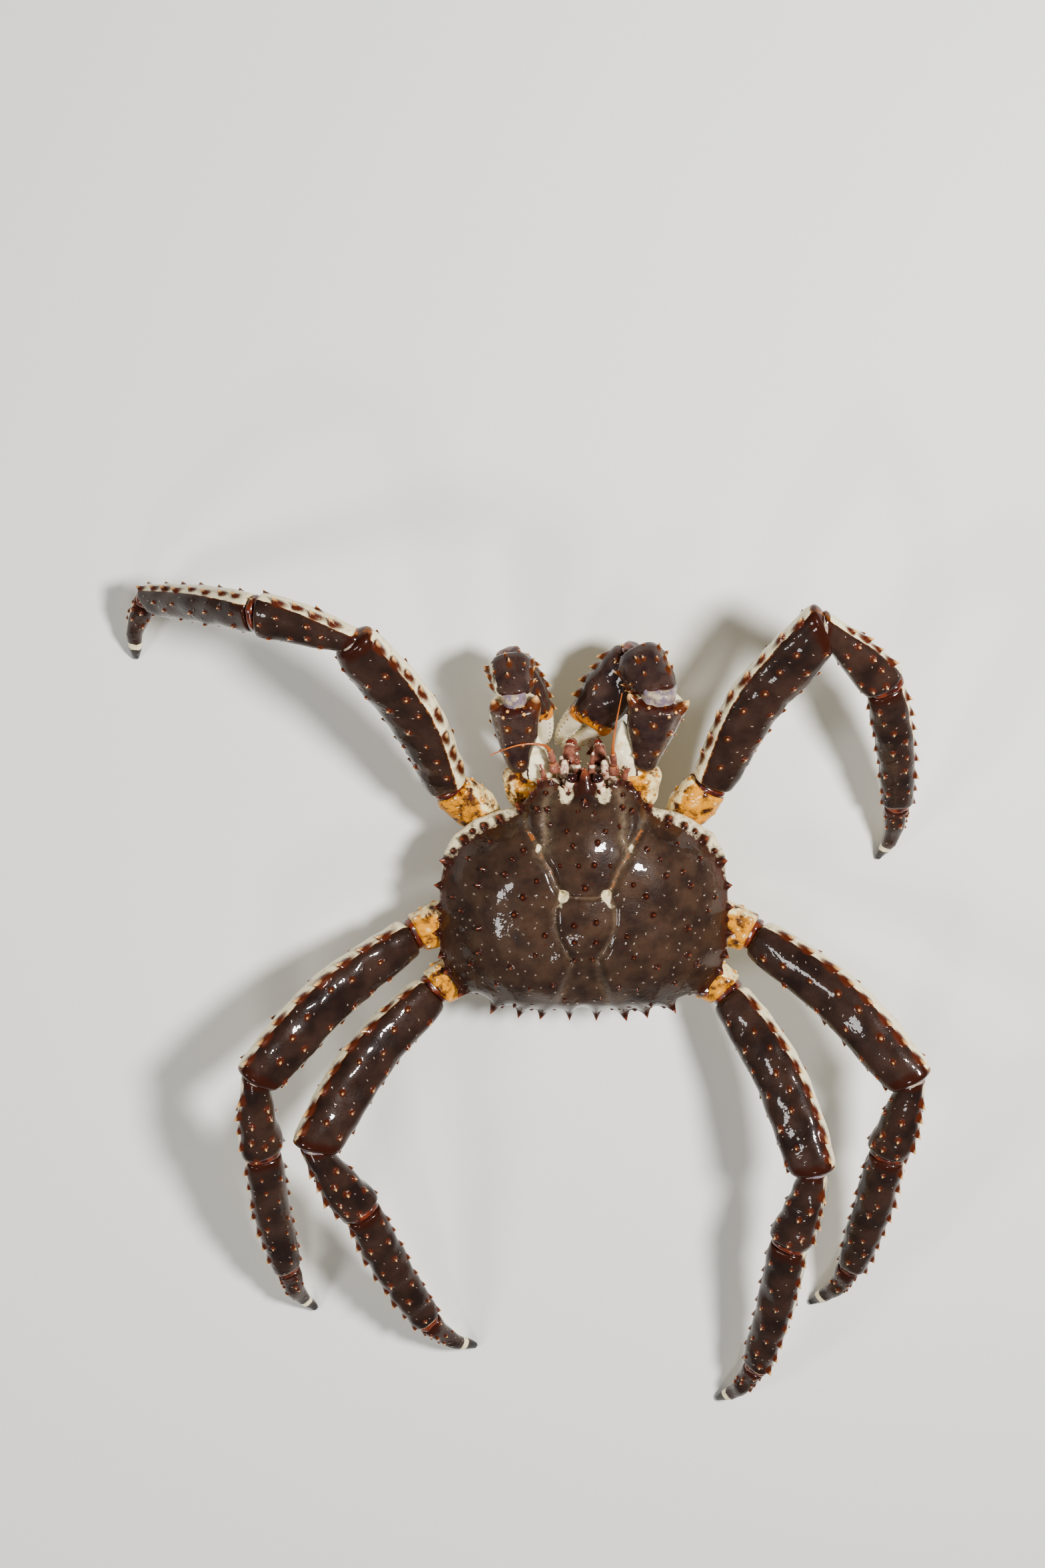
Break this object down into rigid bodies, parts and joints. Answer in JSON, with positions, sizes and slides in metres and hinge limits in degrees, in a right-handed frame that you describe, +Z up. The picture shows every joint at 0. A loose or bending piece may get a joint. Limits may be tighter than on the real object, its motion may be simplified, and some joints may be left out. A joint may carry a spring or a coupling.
{
  "type": "red king crab",
  "caption": "Whole spiny king crab standing on its walking legs, claws folded before its mouth, tail tucked under a domed shell.",
  "frame": {"origin": "on the floor, in the middle of the box that the crab fills seen from above", "axes": "+Z up from the floor, the crab faces -Y and its right side is at -X"},
  "size_m": [0.4954, 0.5712, 0.1328],
  "materials": {
    "shell_brown": "wet, glossy dark brown shell with paler tubercles and red-brown spines",
    "shell_cream": "wet, cream to yellow-orange shell of the leg roots and the underside",
    "feeler_orange": "translucent orange-brown horn",
    "eye_maroon": "polished dark maroon"
  },
  "bodies": {
    "root": {"breast_plate": "shell_cream", "carapace": "shell_brown", "claw_left_carpus": "shell_brown", "claw_left_finger": "shell_brown", "claw_left_ischium": "shell_cream", "claw_left_merus": "shell_brown", "claw_left_palm": "shell_brown", "claw_right_carpus": "shell_brown", "claw_right_finger": "shell_brown", "claw_right_ischium": "shell_cream", "claw_right_merus": "shell_brown", "claw_right_palm": "shell_brown", "eye_left": "eye_maroon", "eye_right": "eye_maroon", "feeler_left": "feeler_orange", "feeler_right": "feeler_orange", "jaw_left": "feeler_orange", "jaw_right": "feeler_orange", "leg_left_1_carpus": "shell_brown", "leg_left_1_dactyl": "shell_brown", "leg_left_1_ischium": "shell_cream", "leg_left_1_merus": "shell_brown", "leg_left_1_propodus": "shell_brown", "leg_left_2_carpus": "shell_brown", "leg_left_2_dactyl": "shell_brown", "leg_left_2_ischium": "shell_cream", "leg_left_2_merus": "shell_brown", "leg_left_2_propodus": "shell_brown", "leg_left_3_carpus": "shell_brown", "leg_left_3_dactyl": "shell_brown", "leg_left_3_ischium": "shell_cream", "leg_left_3_merus": "shell_brown", "leg_left_3_propodus": "shell_brown", "leg_right_1_carpus": "shell_brown", "leg_right_1_dactyl": "shell_brown", "leg_right_1_ischium": "shell_cream", "leg_right_1_merus": "shell_brown", "leg_right_1_propodus": "shell_brown", "leg_right_2_carpus": "shell_brown", "leg_right_2_dactyl": "shell_brown", "leg_right_2_ischium": "shell_cream", "leg_right_2_merus": "shell_brown", "leg_right_2_propodus": "shell_brown", "leg_right_3_carpus": "shell_brown", "leg_right_3_dactyl": "shell_brown", "leg_right_3_ischium": "shell_cream", "leg_right_3_merus": "shell_brown", "leg_right_3_propodus": "shell_brown", "tail": "shell_cream"}
  },
  "joints": []
}
